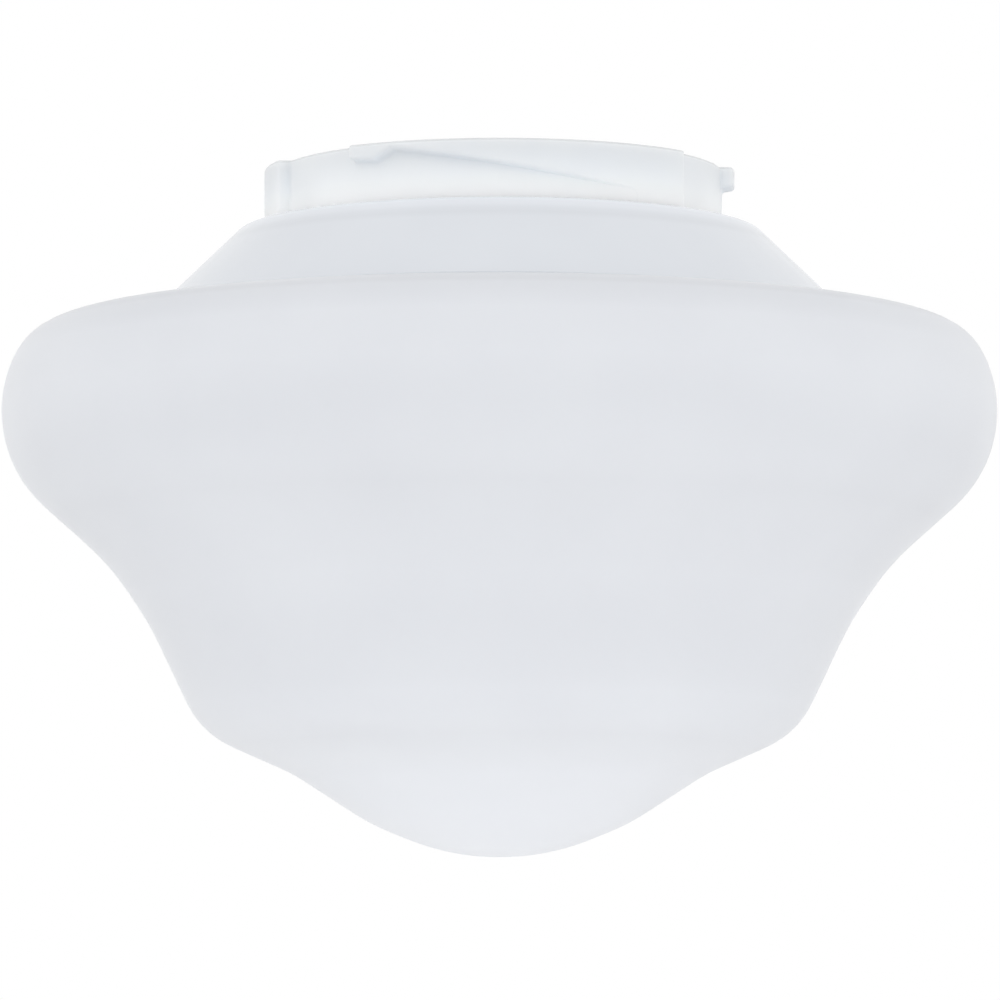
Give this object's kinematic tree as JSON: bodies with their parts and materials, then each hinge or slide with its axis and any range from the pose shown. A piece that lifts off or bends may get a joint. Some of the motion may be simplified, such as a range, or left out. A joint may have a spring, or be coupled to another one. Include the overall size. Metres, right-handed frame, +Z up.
{
  "type": "ceiling fan light kit",
  "caption": "Twist-lock light kit for under a ceiling fan: ramped bayonet neck, flared white collar and opal schoolhouse glass over a screw lampholder and bulb.",
  "frame": {"origin": "centre of the bayonet neck's top rim, where the kit meets the fan", "axes": "+Z up along the neck's axis towards the fan, -Y towards the viewer of the picture, +X to the viewer's right"},
  "size_m": [0.2538, 0.2538, 0.1755],
  "materials": {
    "white_moulding": "satin white moulded plastic",
    "white_paint": "satin white baked paint on drawn steel",
    "opal_glass": "glossy opal white glass, a little cool",
    "zinc_steel": "bright zinc plated steel",
    "bright_screw": "plated steel fasteners",
    "silicone": "milky silicone rubber",
    "porcelain": "glazed white porcelain",
    "brass": "stamped brass",
    "nylon": "natural nylon",
    "black_insulation": "black lead insulation",
    "white_insulation": "white lead insulation",
    "green_insulation": "green lead insulation",
    "tinned_copper": "tinned copper",
    "green_screw": "green coated steel screw",
    "nickel": "nickel plated brass",
    "black_glass": "black vitrite insulator",
    "solder": "soldered contact button",
    "bulb_plastic": "white bulb housing",
    "bulb_diffuser": "milky diffuser",
    "aluminium_board": "white coated aluminium board",
    "light_chip": "yellow phosphor chips"
  },
  "bodies": {
    "kit": {"bayonet_neck": "white_moulding", "flared_collar": "white_paint", "socket_plate": "zinc_steel", "retainer_ring": "zinc_steel", "lip_gasket": "silicone", "clamp_screws": "bright_screw", "lock_washers": "bright_screw", "socket_bracket": "zinc_steel", "bracket_rivets": "bright_screw", "socket_body": "porcelain", "socket_screws": "bright_screw", "socket_shell": "brass", "socket_terminals": "brass", "terminal_screws": "brass", "contact_rivet": "brass", "connector_housing": "nylon", "connector_pins": "brass", "hot_lead": "black_insulation", "neutral_lead": "white_insulation", "ground_lead": "green_insulation", "ring_terminal": "tinned_copper", "ground_screw": "green_screw"},
    "shade": {"glass_shade": "opal_glass"},
    "bulb_lift": {"bulb_insulator": "black_glass", "bulb_tip": "solder"},
    "bulb": {"bulb_base": "nickel", "bulb_housing": "bulb_plastic", "bulb_globe": "bulb_diffuser", "led_board": "aluminium_board", "led_chips": "light_chip"},
    "contact": {"centre_contact": "brass"}
  },
  "joints": [
    {"name": "glass_twist", "type": "hinge", "parent": "kit", "child": "shade", "pos_m": [0, 0, -0.0345], "axis": [0, 0, 1], "range_deg": [-34, 0]},
    {"name": "bulb_drop", "type": "slide", "parent": "kit", "child": "bulb_lift", "axis": [0, 0, -1], "range_m": [0, 0.0222]},
    {"name": "bulb_turn", "type": "hinge", "parent": "bulb_lift", "child": "bulb", "pos_m": [0, 0, -0.06], "axis": [0, 0, -1], "range_deg": [0, 2160]},
    {"name": "contact_flex", "type": "hinge", "parent": "kit", "child": "contact", "pos_m": [-0.0102, 0, -0.0429], "axis": [0, -1, 0], "range_deg": [0, 5], "stiffness_Nm_per_rad": 0.02}
  ],
  "couplings": [
    {"joint": "bulb_drop", "follows": "bulb_turn", "m_per_rad": 0.00057757}
  ]
}
